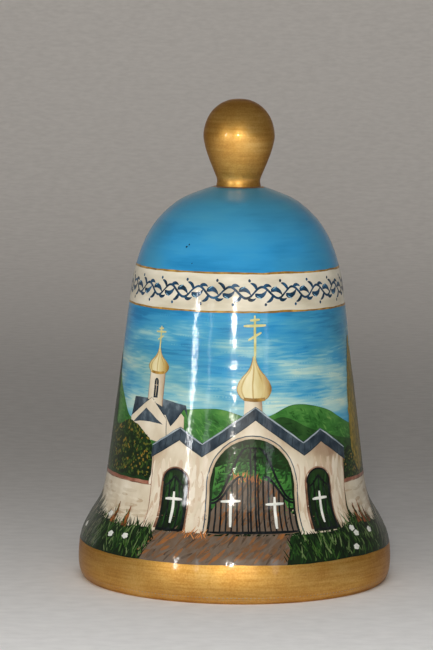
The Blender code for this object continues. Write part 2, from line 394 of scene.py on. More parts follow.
shell = turned_piece("porcelain_shell", wall_line, 256, sky_wash)
PAINTED, BARE, GLAZED, GILDED = range(4)  # the shell's finishes, by slot
shell.data.materials.append(bisque)
shell.data.materials.append(white_glaze)
for face in shell.data.polygons:
    radius, high = math.hypot(face.center.x, face.center.y) / MM, face.center.z / MM
    skin_radius = np.interp(-high, -outside[:, 1], outside[:, 0])
    if high < 0.05:
        face.material_index = BARE
    elif radius < skin_radius - 0.3 or radius < OUTLINE[0][0] - 0.1:
        face.material_index = GLAZED
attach(shell, "bell")
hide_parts("bell_shell")

# --------------------------------------
# Knob: cast porcelain, hollow, cemented over the crown's spigot. It is gilded with bronze-powder
# paint brushed on level, so its grain and its thin places run level, and then varnished.
KNOB = (  # (radius, height) in mm, from the top to the neck's foot
    (0.0, 110.0), (1.2, 109.93), (2.6, 109.65), (4.4, 108.8), (6.2, 107.2), (7.5, 104.9),
    (8.15, 101.9), (7.75, 99.2), (6.8, 96.3), (5.7, 93.6), (4.95, 91.6), (5.1, 90.15),
)
KNOB_HOLLOW = ((3.3, 94.6), (4.2, 96.6), (5.5, 99.2), (5.9, 102.0), (4.6, 105.6), (0.0, 107.6))
KNOB_FOOT_INNER = (3.3, 90.15)
gold_paint, tree, shader = surface(
    "bronze_powder_paint", 0.42, metallic=0.92, coat=0.4, coat_roughness=0.10
)
shader["Specular Tint"].default_value = linear("8A5A30")  # bronze darkens to brown at its edges
place = add(tree, "TexCoord").outputs["Object"]
brush = brush_marks(tree, place, (110, 110, 2200))
flake = add(tree, "TexNoise", {"Vector": place, "Scale": 2600.0, "Detail": 2.0})
patch = add(tree, "TexNoise", {"Vector": place, "Scale": 120.0, "Detail": 3.0})
mixed = add(tree, "Mix", {0: 0.45, 2: brush, 3: flake}, data_type="FLOAT")
mixed = add(tree, "Mix", {0: 0.4, 2: mixed, 3: patch}, data_type="FLOAT")
gold = add(tree, "ValToRGB", {"Fac": mixed}, [
    (0.28, "B87E36"), (0.44, "CF9947"), (0.56, "DFAF5C"), (0.72, "EEC780"),
])
tree.links.new(gold.outputs[0], shader["Base Color"])
rough = add(
    tree, "MapRange",
    {"Value": mixed, "From Min": 0.36, "From Max": 0.64, "To Min": 0.50, "To Max": 0.36},
)
tree.links.new(rough.outputs[0], shader["Roughness"])
grit = add(tree, "Mix", {0: 0.6, 2: brush, 3: flake}, data_type="FLOAT")
relief = add(tree, "Bump", {"Strength": 0.5, "Distance": 0.00006, "Height": grit})
tree.links.new(relief.outputs[0], shader["Normal"])
knob_line = [*smooth_line(KNOB, 70), KNOB_FOOT_INNER, *smooth_line(KNOB_HOLLOW, 24)]
knob = turned_piece("gilded_knob", knob_line, 128, gold_paint, closed=False)
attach(knob, "bell")
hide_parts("knob")

# --------------------------------------
# Painting, ground rules: every painted shape is a film of enamel laid on the shell in coats, each
# a few thousandths of a millimetre above the last. Shapes are drawn flat, in mm round the waist
# from the front and mm above the foot, and then laid on the turned surface.
WAIST = 28.5  # the radius at which a flat millimetre is a true one
ROUND = 2 * math.pi * WAIST
COAT = 0.006  # mm
BELT_STEPS = 480


def lay_on_bell(piece, coat):
    """Wraps a flat mesh (x round the bell, y up, z in coats outwards) on the shell, normals and all."""
    mesh = piece.data
    flat = np.empty(len(mesh.vertices) * 3)
    mesh.vertices.foreach_get("co", flat)
    flat = flat.reshape(-1, 3)
    turn = flat[:, 0] / WAIST
    base, out_share, up_share = (
        np.interp(-flat[:, 1], -outside[:, 1], column)
        for column in (outside[:, 0], outward[:, 0], outward[:, 1])
    )
    lift = (flat[:, 2] + coat) * COAT
    around = np.column_stack([np.sin(turn), -np.cos(turn)])
    placed = np.column_stack([around * (base + out_share * lift)[:, None], flat[:, 1] + up_share * lift])
    mesh.vertices.foreach_set("co", (placed * MM).astype(np.float32).ravel())
    mesh.update()
    mesh.shade_smooth()
    normals = np.column_stack([around * out_share[:, None], up_share])
    mesh.normals_split_custom_set_from_vertices(normals.tolist())
    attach(piece, "bell")
    return piece


def brushed(name, colours, grain, own_tint=0.0):
    """Enamel brushed on, its colours evenly from deep to pale along the brush's streaks. grain is
    the streaks' number to the metre, round the bell and up it. own_tint is each stroke's own share."""
    made, tree, shader = surface(name, 0.36, coat=VARNISH)
    shader["Specular IOR Level"].default_value = WETTED
    place = add(tree, "TexCoord").outputs["Object"]
    streak = brush_marks(tree, place, (grain[0], *grain))
    factor = add(tree, "MapRange", {"Value": streak, "From Min": 0.3, "From Max": 0.7})
    if own_tint:
        own = add(tree, "Attribute", attribute_name="tint").outputs["Fac"]
        factor = add(tree, "Mix", {0: own_tint, 2: factor, 3: own}, data_type="FLOAT")
    stops = [(i / (len(colours) - 1), colour) for i, colour in enumerate(colours)]
    tone = add(tree, "ValToRGB", {"Fac": factor}, stops)
    tree.links.new(tone.outputs[0], shader["Base Color"])
    relief = add(tree, "Bump", {"Strength": 0.12, "Distance": 0.0001, "Height": streak})
    tree.links.new(relief.outputs[0], shader["Normal"])
    varnish(tree, shader, place)
    return made


SHAKE_PITCH = 0.7  # mm between the points that an unsteady hand moves
noise.seed_set(11)  # so that the hand's shake is the same on every run


def shaky(outline, amount):
    """The outline with more points, moved as an unsteady hand would move them."""
    points = []
    for (x0, y0), (x1, y1) in zip(outline, outline[1:] + outline[:1]):
        cuts = max(1, round(math.hypot(x1 - x0, y1 - y0) / SHAKE_PITCH))
        points += [(x0 + (x1 - x0) * i / cuts, y0 + (y1 - y0) * i / cuts) for i in range(cuts)]
    moved = []
    for x, y in points:
        shift = noise.noise_vector(Vector((x * 0.55, y * 0.55, 3.7)))
        moved.append((x + amount * shift.x, y + amount * shift.y))
    return moved


def inside_of(x, y, outline):
    """True if the point is inside the outline."""
    hit = False
    for (x0, y0), (x1, y1) in zip(outline, outline[1:] + outline[:1]):
        if (y0 > y) != (y1 > y) and x < (x1 - x0) * (y - y0) / (y1 - y0) + x0:
            hit = not hit
    return hit


def flat_mesh(name, outlines, amount=0.12, pitch=0.9):
    """A flat mesh of filled outlines, in mm, fine enough to bend round the bell."""
    points, faces = [], []
    for outline in outlines:
        edge = shaky(list(outline), amount)
        xs, ys = zip(*edge)
        inner = [
            (x, y)
            for x in np.arange(min(xs) + pitch / 2, max(xs), pitch)
            for y in np.arange(min(ys) + pitch / 2, max(ys), pitch)
            if inside_of(x, y, edge) and min(math.hypot(x - a, y - b) for a, b in edge) > pitch / 3
        ]
        ring = [list(range(len(edge)))]
        made, _, tris, *_ = delaunay_2d_cdt([Vector(p) for p in edge + inner], [], ring, 1, 1e-5)
        faces += [[i + len(points) for i in tri] for tri in tris]
        points += [(p.x, p.y, 0) for p in made]
    mesh = bpy.data.meshes.new(name)
    mesh.from_pydata(points, [], faces)
    return mesh


def spread(mesh, paint, coat, tone=None):
    """Makes a flat mesh a painted piece on the bell. tone(x, y) gives each place its own tint."""
    if tone:
        tint = mesh.attributes.new("tint", "FLOAT", "POINT")
        tint.data.foreach_set("value", [tone(v.co.x, v.co.y) for v in mesh.vertices])
    mesh.materials.append(paint)
    piece = bpy.data.objects.new(mesh.name, mesh)
    scene.collection.objects.link(piece)
    return lay_on_bell(piece, coat)


def film(name, outlines, paint, coat, amount=0.12, tone=None):
    """A painted piece from its flat outlines, with hand-drawn edges."""
    return spread(flat_mesh(name, outlines, amount), paint, coat, tone)


def belt(name, low, high, paint, coat, rows=8, tone=None, swell=0):
    """A painted belt all round the bell, between two heights that are functions of the place.
    swell is how many coats more its upper edge stands out."""
    points, faces = [], []
    for i in range(BELT_STEPS):
        x = ROUND * (i / BELT_STEPS - 0.5)
        for share in np.linspace(0, 1, rows + 1):
            points.append((x, low(x) + (high(x) - low(x)) * share, swell * share**3))
        a, b = i * (rows + 1), (i + 1) % BELT_STEPS * (rows + 1)
        faces += [(a + j, b + j, b + j + 1, a + j + 1) for j in range(rows)]
    mesh = bpy.data.meshes.new(name)
    mesh.from_pydata(points, [], faces)
    return spread(mesh, paint, coat, tone)


def stroked(line, half_width):
    """The outline of a stroke along a line. half_width(t) is half its width, t from 0 to 1."""
    line = [Vector(p) for p in line]
    last = len(line) - 1
    left, right = [], []
    for i, here in enumerate(line):
        along = (line[min(i + 1, last)] - line[max(i - 1, 0)]).normalized()
        across = Vector((-along.y, along.x)) * half_width(i / last)
        left.append(tuple(here + across))
        right.append(tuple(here - across))
    return right + left[::-1]


def ribbon(line, width, ends=0.5):
    """The outline of one brush line, full in the middle and thinner at its ends."""
    return stroked(line, lambda t: width / 2 * (1 - (1 - ends) * (2 * t - 1) ** 4))


def between(start, end, count=8):
    """Evenly spaced points on a straight line."""
    start, way = np.array(start), np.array(end) - np.array(start)
    return [tuple(start + way * i / count) for i in range(count + 1)]


def waver(x, size, seed):
    """A slow, closed waver round the bell, in mm."""
    turn = Vector((math.cos(x / WAIST), math.sin(x / WAIST), 0)) * 3.5
    quick = noise.noise(turn * 3.1 + Vector((0, seed, 0)))
    return size * (noise.noise(turn + Vector((seed, 0, 0))) + 0.5 * quick)


def stroke_tree():
    """Scatters brush strokes over a flat ground. Each has its own length, lean, height and tint."""
    tree = bpy.data.node_groups.new("brush_strokes", "GeometryNodeTree")
    tree.interface.new_socket("Ground", in_out="INPUT", socket_type="NodeSocketGeometry")
    for name, start in (
        ("Density", 1.0), ("Length", 4.0), ("Width", 0.4), ("Angle", 0.0), ("Spread", 0.1),
        ("Bend", 0.0), ("Tip", 0.0), ("Root", 0.0), ("Rise", 2.0),
    ):
        socket = tree.interface.new_socket(name, in_out="INPUT", socket_type="NodeSocketFloat")
        socket.default_value = start
    tree.interface.new_socket("Seed", in_out="INPUT", socket_type="NodeSocketInt")
    tree.interface.new_socket("Paint", in_out="INPUT", socket_type="NodeSocketMaterial")
    tree.interface.new_socket("Strokes", in_out="OUTPUT", socket_type="NodeSocketGeometry")
    given = add(tree, "NodeGroupInput").outputs
    draws = []
    for more, low, high in ((1, 0.0, 1.0), (2, -1.0, 1.0), (3, 0.55, 1.3), (4, 0.7, 1.3), (5, 0.0, 1.0)):
        seed = add(tree, "Math", {0: given["Seed"], 1: more}, operation="ADD")
        draws.append(add(tree, "FunctionNodeRandomValue", {2: low, 3: high, 8: seed}, data_type="FLOAT"))
    own_rise, own_lean, own_length, own_width, own_tint = draws

    # One stroke, 1 long and 1 wide, along X: full in the middle, closed at both ends, and with
    # Tip drawn out to a point. Root moves its foot to its place, and Bend curves it.
    grid = add(tree, "GeometryNodeMeshGrid", {"Vertices X": 11, "Vertices Y": 3})
    axes = add(tree, "SeparateXYZ", {0: add(tree, "GeometryNodeInputPosition")}).outputs
    share = add(tree, "Math", {0: axes["X"], 1: 1.96}, operation="MULTIPLY")
    square = add(tree, "Math", {0: share, 1: share}, operation="MULTIPLY")
    full = add(tree, "Math", {0: 1.0, 1: square}, operation="SUBTRACT")
    full = add(tree, "Math", {0: full, 1: 0.6}, operation="POWER")
    forward = add(tree, "Math", {0: axes["X"], 1: 0.5}, operation="ADD")
    drawn_out = add(tree, "Math", {0: forward, 1: given["Tip"]}, operation="MULTIPLY")
    thin = add(tree, "Math", {0: 1.0, 1: drawn_out}, operation="SUBTRACT")
    across = add(tree, "Math", {0: axes["Y"], 1: full}, operation="MULTIPLY")
    across = add(tree, "Math", {0: across, 1: thin}, operation="MULTIPLY")
    along = add(tree, "Math", {0: axes["X"], 1: given["Root"]}, operation="ADD")
    curve = add(tree, "Math", {0: along, 1: along}, operation="MULTIPLY")
    across = add(tree, "Math", {0: curve, 1: given["Bend"], 2: across}, operation="MULTIPLY_ADD")
    shape = add(tree, "CombineXYZ", {"X": along, "Y": across})
    stroke = add(tree, "GeometryNodeSetPosition", {"Geometry": grid, "Position": shape})

    spots = add(
        tree, "GeometryNodeDistributePointsOnFaces",
        {"Mesh": given["Ground"], "Density": given["Density"], "Seed": given["Seed"]},
    )
    rise = add(tree, "Math", {0: given["Rise"], 1: own_rise}, operation="MULTIPLY")
    rise = add(tree, "CombineXYZ", {"Z": rise})
    spots = add(tree, "GeometryNodeSetPosition", {"Geometry": spots, "Offset": rise})
    lean = add(
        tree, "Math", {0: given["Spread"], 1: own_lean, 2: given["Angle"]}, operation="MULTIPLY_ADD"
    )
    turn = add(tree, "FunctionNodeEulerToRotation", {0: add(tree, "CombineXYZ", {"Z": lean})})
    long = add(tree, "Math", {0: given["Length"], 1: own_length}, operation="MULTIPLY")
    wide = add(tree, "Math", {0: given["Width"], 1: own_width}, operation="MULTIPLY")
    size = add(tree, "CombineXYZ", {"X": long, "Y": wide, "Z": 1.0})
    laid = add(
        tree, "GeometryNodeInstanceOnPoints",
        {"Points": spots, "Instance": stroke, "Rotation": turn, "Scale": size},
    )
    tinted = add(
        tree, "GeometryNodeStoreNamedAttribute",
        {"Geometry": laid, "Name": "tint", "Value": own_tint}, data_type="FLOAT", domain="INSTANCE",
    )
    real = add(tree, "GeometryNodeRealizeInstances", {"Geometry": tinted})
    clad = add(tree, "GeometryNodeSetMaterial", {"Geometry": real, "Material": given["Paint"]})
    add(tree, "NodeGroupOutput", {"Strokes": clad})
    return tree


STROKES = stroke_tree()


def strokes(name, outlines, paint, coat, **values):
    """Brush strokes scattered over flat outlines and laid on the bell. Sizes are in mm."""
    ground = flat_mesh(name + "_ground", outlines, amount=0, pitch=3)
    return lay_on_bell(run_tree(name, ground, STROKES, {"Paint": paint, **values}, paint), coat)


def block(left, right, low, high):
    """The flat outline of an upright block."""
    return [(left, low), (right, low), (right, high), (left, high)]


# --------------------------------------
# Sky: level strokes laid wet over the blue wash with a flat brush, close to its own colours, so
# that cloud banks build up out of strokes. The crown has only a few faint ones.
sky_touch = sky_enamel("sky_stroke_enamel", 0.24)
strokes(
    "sky_strokes", [block(-ROUND / 2, ROUND / 2, 42, 63.2)], sky_touch, 1.6,
    Density=0.75, Length=6.5, Width=0.42, Spread=0.09, Seed=3, Rise=1.8,
)
strokes(
    "crown_strokes", [block(-ROUND / 2, ROUND / 2, 73.5, 88.0)], sky_touch, 2,
    Density=0.10, Length=7.0, Width=0.6, Spread=0.05, Seed=5,
)

# --------------------------------------
# Cream band: enamel ruled off by hand, with an ochre line along each edge. A navy running vine of
# comma leaves and berries goes all round it, with pale blue touches on the leaves.
BAND_LOW = 63.7
BAND_HIGH = 72.1
BAND_MIDDLE = (BAND_LOW + BAND_HIGH) / 2
LINE_HALF = 0.2
VINE_TURNS = 21
PITCH = ROUND / VINE_TURNS
LEAVES = (  # (along, up, size, lean, curl) from each foot on the stem, mm and radians
    (0.2, -0.2, 3.3, -0.85, 1.1), (0.7, 0.6, 2.3, 1.75, 0.7), (2.5, 1.1, 2.2, 0.95, -0.9),
)
BERRIES = ((3.0, -2.6, 0.36), (3.9, -1.9, 0.28))  # (along, up, radius)
cream = brushed("cream_enamel", ["C0B8A2", "D4CDBA", "E3DDCD"], grain=(90, 300))
ochre = brushed("ochre_line_enamel", ["6E4E1E", "94702F", "C29A4C"], grain=(500, 500))
navy = brushed("navy_enamel", ["0C1A26", "142F44", "1D4666", "2F6488"], grain=(700, 700), own_tint=0.6)
pale_blue = brushed("pale_blue_enamel", ["4E86AA", "8DBBD0"], grain=(700, 700))
belt(
    "cream_band", lambda x: BAND_LOW + waver(x, 0.12, 1), lambda x: BAND_HIGH + waver(x, 0.12, 5),
    cream, 4,
)
for name, middle, seed in (("band_line_low", BAND_LOW, 1), ("band_line_high", BAND_HIGH, 5)):
    belt(
        name,
        lambda x: middle + waver(x, 0.12, seed) - LINE_HALF - waver(x, 0.10, 9),
        lambda x: middle + waver(x, 0.12, seed) + LINE_HALF + waver(x, 0.14, 13),
        ochre, 6, rows=2,
    )


def leaf(x, y, size, lean, curl):
    """One comma stroke: a full leaf drawn out to a curled tip."""
    points = [
        (x + size * t * math.cos(lean + curl * t), y + size * t * math.sin(lean + curl * t))
        for t in np.linspace(0, 1, 11)
    ]
    return stroked(points, lambda t: 0.36 * size * math.sqrt(t) * (1 - t) ** 0.8 + 0.05)


def spot(x, y, wide, tall, corners=12):
    """A round dab."""
    turns = [2 * math.pi * i / corners for i in range(corners)]
    return [(x + wide * math.cos(turn), y + tall * math.sin(turn)) for turn in turns]


vine, touches = [], []
for i in range(VINE_TURNS):
    start = PITCH * (i - VINE_TURNS / 2)
    wave = [
        (start + PITCH * t, BAND_MIDDLE + 1.25 * math.sin(2 * math.pi * t)) for t in np.linspace(0, 1, 21)
    ]
    vine.append(ribbon(wave, 0.55, ends=0.7))
    for foot, up in ((start, 1), (start + PITCH / 2, -1)):
        for x, y, size, lean, curl in LEAVES:
            vine.append(leaf(foot + x, BAND_MIDDLE + y * up, size, lean * up, curl * up))
        for x, y, size in BERRIES:
            vine.append(spot(foot + x, BAND_MIDDLE + y * up, size, size))
        line = [(foot + 0.7 + 0.3 * t, BAND_MIDDLE - up * (0.75 + 0.16 * t)) for t in range(5)]
        touches.append(ribbon(line, 0.22))
film(
    "band_vine", vine, navy, 6, amount=0.10,
    tone=lambda x, y: 0.5 + 0.9 * noise.noise((x * 0.5, y * 0.5, 2)),
)
film("band_touches", touches, pale_blue, 8, amount=0.05)

specks = [spot(-16.2, 77.5, 0.34, 0.2), spot(-15.5, 78.0, 0.22, 0.2), spot(-13.4, 74.0, 0.16, 0.14)]
film("crown_specks", specks, navy, 5, amount=0.06)

# --------------------------------------
# Hills: two ranges in greens all round the bell, each a belt with a rolling top edge, the far one
# with a dark line along it, touched over with leaning strokes so that the slopes read as grass and far
# woods.
FAR_TOPS = (
    (-89.5, 40.5), (-76, 43.5), (-62, 41.0), (-50, 44.0), (-42, 48.0), (-35, 43.5), (-29, 38.5),
    (-21, 40.5), (-12, 41.8), (-4, 42.2), (5, 40.2), (14, 43.0), (23, 41.6), (31, 38.0),
    (37, 37.0), (44, 39.5), (52, 43.2), (66, 40.6), (78, 42.4), (89.5, 40.5),
)
NEAR_TOPS = (
    (-89.5, 35.0), (-72, 37.5), (-60, 34.0), (-46, 37.5), (-34, 36.0), (-22, 33.0), (-10, 34.5),
    (2, 36.0), (10, 40.4), (18, 37.6), (27, 35.0), (35, 34.0), (44, 36.8), (58, 33.5), (74, 37.2),
    (89.5, 35.0),
)
far_green = brushed(
    "hill_green_enamel", ["1C4419", "2A5E24", "397330", "4E853C", "6E984E"], grain=(300, 420), own_tint=0.5
)
near_green = brushed("wood_green_enamel", ["132A11", "1D3F19", "325A28"], grain=(300, 420), own_tint=0.45)
leaf_dark = brushed("dark_leaf_enamel", ["0B1509", "14260F", "223A17"], grain=(500, 500), own_tint=0.5)


def along_tops(tops):
    """The height of a range's top edge as a function of the place round the bell."""
    curve = smooth_line(tops, 400)
    return lambda x: float(np.interp(x, curve[:, 0], curve[:, 1])) + waver(x, 0.1, 21)


def shade(low, high):
    """A tint that grows from 0 at one height to 1 at another, a little uneven."""
    return lambda x, y: min(1, max(0, (y - low) / (high - low) + 0.35 * noise.noise((x * 0.2, y * 0.2, 6))))


far_top = along_tops(FAR_TOPS)
near_top = along_tops(NEAR_TOPS)
belt("far_hills", lambda x: 30.0, far_top, far_green, 4, rows=14, tone=shade(34, 45))
belt(
    "far_hill_line", lambda x: far_top(x) - 0.12, lambda x: far_top(x) + 0.03 + waver(x, 0.08, 27),
    far_green, 5, rows=1, tone=lambda x, y: 0.1,
)
belt("near_hills", lambda x: 8.3, near_top, near_green, 8, rows=24, tone=shade(24, 38))
crest = [(x, far_top(x) - 0.9) for x in np.arange(-89.5, 89.6, 1.5)]
foot = [(x, near_top(x) + 0.4) for x, _ in reversed(crest)]
strokes(
    "far_hill_strokes", [crest + foot], far_green, 5,
    Density=1.7, Length=1.5, Width=0.34, Angle=-0.5, Spread=0.8, Seed=12,
)
crest = [(x, near_top(x) - 0.8) for x in np.arange(-89.5, 89.6, 1.5)]
foot = [(x, 26.0) for x, _ in reversed(crest)]
strokes(
    "near_hill_strokes", [crest + foot], near_green, 8.2,
    Density=0.9, Length=1.6, Width=0.34, Angle=-0.4, Spread=0.8, Seed=14, Rise=0.7,
)

# --------------------------------------
# Chapels: a small white chapel with one gilded onion dome on the left hill, and another on the
# back. Cream walls, slate gables, a dark arched window in the drum, and thin umber outlines.
wall_white = brushed(
    "limewash_enamel", ["9A8068", "BAA68C", "CEC2AB", "DAD0BC", "E6DECE"], grain=(260, 120), own_tint=0.55
)
slate = brushed("slate_enamel", ["161F29", "28343F", "414E59", "76848E"], grain=(600, 400), own_tint=0.5)
dome_gold = brushed(
    "pale_gold_enamel", ["80602A", "AA8A48", "C8B47A", "D8CD9E", "E4DCBA"], grain=(500, 120), own_tint=0.75
)
dark_glass = brushed("dark_window_enamel", ["141C22", "2E3A42"], grain=(500, 500))
umber = brushed("umber_line_enamel", ["5A3E30", "86614C", "AE8A74"], grain=(400, 400))
pale_line = brushed("pale_line_enamel", ["B9B470", "DCD9A0"], grain=(500, 500))
ONION = (
    (0.50, 0.0), (0.78, 0.07), (1.0, 0.24), (0.92, 0.38), (0.66, 0.54), (0.36, 0.68), (0.16, 0.84),
    (0.08, 1.0),
)


def onion(x, low, half, tall, share=1.0):
    """One side of an onion dome, from its foot up: full low down and drawn up to a point."""
    return [(x + half * share * a, low + tall * b) for a, b in smooth_line(ONION, 24)]


def arch(x, low, half, spring, rise):
    """The outline of a round-headed opening, from its left foot round to the spring on the left."""
    turns = [math.pi * i / 18 for i in range(19)]
    head = [(x + half * math.cos(turn), spring + rise * math.sin(turn)) for turn in turns]
    return [(x - half, low), (x + half, low), *head]


def rounded(x, half):
    """Lights a round form from the left: pale left of the middle, deep at its right edge."""
    return lambda px, py: 0.98 - 0.8 * abs((px - x) / half + 0.3) ** 1.4


def painted_dome(name, x, low, half, tall, coat):
    """An onion dome, brushed from the foot up in curved strokes, with a thin outline."""
    film(
        name, [onion(x, low, half, tall) + onion(x, low, half, tall, -1)[::-1]], dome_gold, coat,
        amount=0.08, tone=rounded(x, half),
    )
    ribs = [
        ribbon(onion(x, low, half, tall, share), 0.09 * half, ends=0.3) for share in (-0.75, -0.1, 0.55)
    ]
    film(
        name + "_ribs", ribs, dome_gold, coat + 1.5, amount=0.1,
        tone=lambda px, py: 0.40 + 0.1 * math.sin(px * 3),
    )
    sides = [ribbon(onion(x, low, half, tall, share), 0.16, ends=0.6) for share in (-1, 1)]
    film(name + "_outline", sides, ochre, coat + 3, amount=0.08)
    ring = [(x + half * 0.62 * t, low + 0.35 - 0.22 * (1 - t * t)) for t in np.linspace(-1, 1, 9)]
    film(name + "_foot", [ribbon(ring, 0.19 * half, ends=0.9)], ochre, coat + 3, amount=0.06)


def finial(x, low, tall, width, slant=True):
    """A plain cross on a stem, as brush lines. With slant it also has a short bar and a slanting one."""
    high = low + tall
    lines = [ribbon(between((x, low), (x, high), 6), width, ends=0.7)]
    reach = tall * 0.29
    bar = between((x - reach, high - tall * 0.24), (x + reach, high - tall * 0.22), 6)
    lines.append(ribbon(bar, width, ends=0.6))
    if slant:
        for reach, left, right in ((0.17, 0.56, 0.38), (0.13, 0.11, 0.09)):
            ends = (x - tall * reach, high - tall * left), (x + tall * reach, high - tall * right)
            lines.append(ribbon(between(*ends, 6), width * 0.9, ends=0.6))
    return lines


def chapel(name, x, low, scale):
    """One chapel: nave with two gables, drum, dome and finial. scale 1 is about 25 mm tall."""
    def at(*pairs):
        return [(x + dx * scale, low + dy * scale) for dx, dy in pairs]

    def lit(px, py):
        return 0.85 - 0.04 * abs(px - x + 4 * scale) - 0.3 * noise.noise((px * 0.3, py * 0.3, 9))

    round_lit = rounded(x, 2.6 * scale)
    middle = x - 0.1 * scale
    window = arch(middle, low + 9.4 * scale, 0.66 * scale, low + 13.0 * scale, 0.8 * scale)

    def drawn(width, *ends):
        return [ribbon(between(*at(*pair)), width) for pair in ends]

    for part, outlines, paint, coat, amount, tone in (
        ("_nave", [at((-7.6, 1), (8.2, 0), (8.4, 5.6), (5.8, 8.2), (3.0, 8.6), (-6, 8.6), (-8, 4.8))],
         wall_white, 9.5, 0.12, lit),
        ("_back_roof", [at((-8.2, 4.8), (-7.4, 9.0), (2.0, 9.4), (8.6, 8.3), (9.4, 5.4), (8.2, 7.4),
                           (4.9, 3.4), (3.4, 5.8))],
         slate, 11, 0.12, shade(low + 2, low + 10 * scale)),
        ("_porch", [at((-8.0, 0.6), (4.0, -0.4), (3.6, 5.0), (-1.2, 9.4), (-8.2, 4.6))],
         wall_white, 12.3, 0.12, lit),
        ("_gable", [at((-7.1, 3.4), (-2.7, 6.9), (2.8, 3.6), (-1.0, 4.0), (-4.6, 3.8))],
         slate, 14, 0.12, shade(low, low + 8 * scale)),
        ("_edges", drawn(0.16, ((-8.3, 4.5), (-1.2, 9.5)), ((-1.2, 9.5), (3.7, 5.0)),
                         ((3.7, 5.0), (4.0, 0.6)), ((5.0, 3.4), (8.3, 7.6))),
         slate, 15.5, 0.08, None),
        ("_drum", [at((-2.5, 9.0), (2.2, 7.6), (2.3, 15.2), (-2.4, 15.2))],
         wall_white, 15.5, 0.12, round_lit),
        ("_drum_edges", drawn(0.14, ((-2.5, 9.0), (-2.4, 15.2)), ((2.2, 7.6), (2.3, 15.2))),
         umber, 17, 0.05, None),
        ("_window", [window], dark_glass, 17.5, 0.05, None),
        ("_window_bars", drawn(0.16, ((-0.1, 9.8), (-0.1, 13.4)), ((-0.6, 12.2), (0.4, 12.2))),
         wall_white, 19, 0.02, lambda px, py: 0.45),
    ):
        film(name + part, outlines, paint, coat, amount, tone)
    painted_dome(name + "_dome", x, low + 14.8 * scale, 3.2 * scale, 5.6 * scale, 17.5)
    film(name + "_finial", finial(x, low + 19.8 * scale, 5.6 * scale, 0.42), pale_line, 20, amount=0.05)


chapel("left_chapel", -20.8, 34.4, 1.0)
chapel("back_chapel", 76.0, 34.0, 1.1)

# --------------------------------------
# Trees and bushes: dark firs, round bushes dabbed with yellow and rust, ochre poplars, and birches
# on the back. Fir and bush crowns are dark films and poplar crowns ochre ones, each with dabs of
# paint over it; the birches' crowns are dabs alone.
leaf_mixed = brushed(
    "leaf_dab_enamel", ["0C1909", "13260E", "1B3313", "243F18", "334D1B", "4A5C20", "6E6626", "98702A"],
    grain=(500, 500), own_tint=0.95,
)
poplar_ochre = brushed("ochre_leaf_enamel", ["5E5A22", "8E7A28", "BC9C3C"], grain=(600, 200), own_tint=0.7)
BUSHES = (
    ((-46, 26), (-46, 33), (-40, 36), (-34, 36.5), (-30.5, 38.0), (-26.5, 37.6), (-23, 35.5),
     (-20.6, 33), (-20, 26)),
    ((28.0, 25), (27.6, 30), (31, 32.6), (34, 31.0), (36.5, 33.0), (40, 32.0), (43, 30.5), (45, 25)),
    ((47, 25), (49, 31.5), (54, 33.5), (59, 31), (64, 32.5), (68, 30), (70, 25)),
    ((-86, 25), (-84, 32), (-79, 34), (-74, 31), (-68, 33.5), (-60, 30.5), (-55, 32.5), (-50, 29),
     (-49, 25)),
)
bushes = [[tuple(p) for p in smooth_line(bush, 40)] for bush in BUSHES]
film("bush_bodies", bushes, leaf_dark, 13, amount=0.5, tone=shade(24, 40))
strokes(
    "bush_dabs", bushes, leaf_mixed, 14,
    Density=2.8, Length=0.75, Width=0.42, Angle=0.6, Spread=1.5, Seed=31,
)


def crown(x, low, half, tall, lean=0.0):
    """The outline of a tall narrow tree crown."""
    side = ((0.35, 0.0), (0.85, 0.12), (1.0, 0.32), (0.86, 0.58), (0.5, 0.84), (0.1, 1.0))
    edge = [(half * a, tall * b) for a, b in smooth_line(side, 18)]
    right = [(x + a + lean * b, low + b) for a, b in edge]
    return right + [(x - a + lean * b, low + b) for a, b in reversed(edge)]


firs = [crown(-42.6, 27, 5.0, 25), crown(-51, 27, 3.8, 21), crown(60, 27, 3.6, 22), crown(-72, 27, 3.8, 23)]
film("fir_crowns", firs, leaf_dark, 14, amount=0.45)
strokes(
    "fir_strokes", firs, near_green, 15,
    Density=2.2, Length=1.7, Width=0.34, Angle=1.3, Spread=0.5, Seed=40,
)
poplars = [crown(37.4, 26.5, 4.9, 30.0, 0.04), crown(44.8, 27, 2.4, 21), crown(-60.5, 27, 2.6, 25)]
film("poplar_crowns", poplars, poplar_ochre, 14, amount=0.45)
strokes(
    "poplar_strokes", poplars, poplar_ochre, 15,
    Density=2.4, Length=1.5, Width=0.34, Angle=1.5, Spread=0.35, Seed=44,
)
BIRCHES = ((-81.5, 26), (-78.2, 25.6), (50.5, 26), (53.4, 25.4), (86.0, 26))
MARK_STEPS = (0.7, 1.9, 3.1, 4.6, 6.2, 7.4)


def trunk(x, low, step, aside=0.0, up=0.0):
    """A place on a bending birch trunk, a number of steps above its foot."""
    return x + aside + 0.35 * math.sin(step * 0.7 + x), low + 1.7 * step + up


trunks = [ribbon([trunk(x, low, step) for step in range(10)], 0.62) for x, low in BIRCHES]
film("birch_trunks", trunks, wall_white, 17, amount=0.08, tone=lambda x, y: 0.8)
marks = [
    ribbon([trunk(x, low, step, -0.26), trunk(x, low, step, 0.1, 0.1)], 0.2)
    for x, low in BIRCHES
    for step in MARK_STEPS
]
film("birch_marks", marks, dark_glass, 18, amount=0.03)
birch_tops = [spot(x + 0.4, low + 16.5, 3.2, 5.2, corners=20) for x, low in BIRCHES]
strokes(
    "birch_leaves", birch_tops, leaf_mixed, 19,
    Density=2.2, Length=0.9, Width=0.42, Angle=-1.2, Spread=0.8, Seed=47,
)

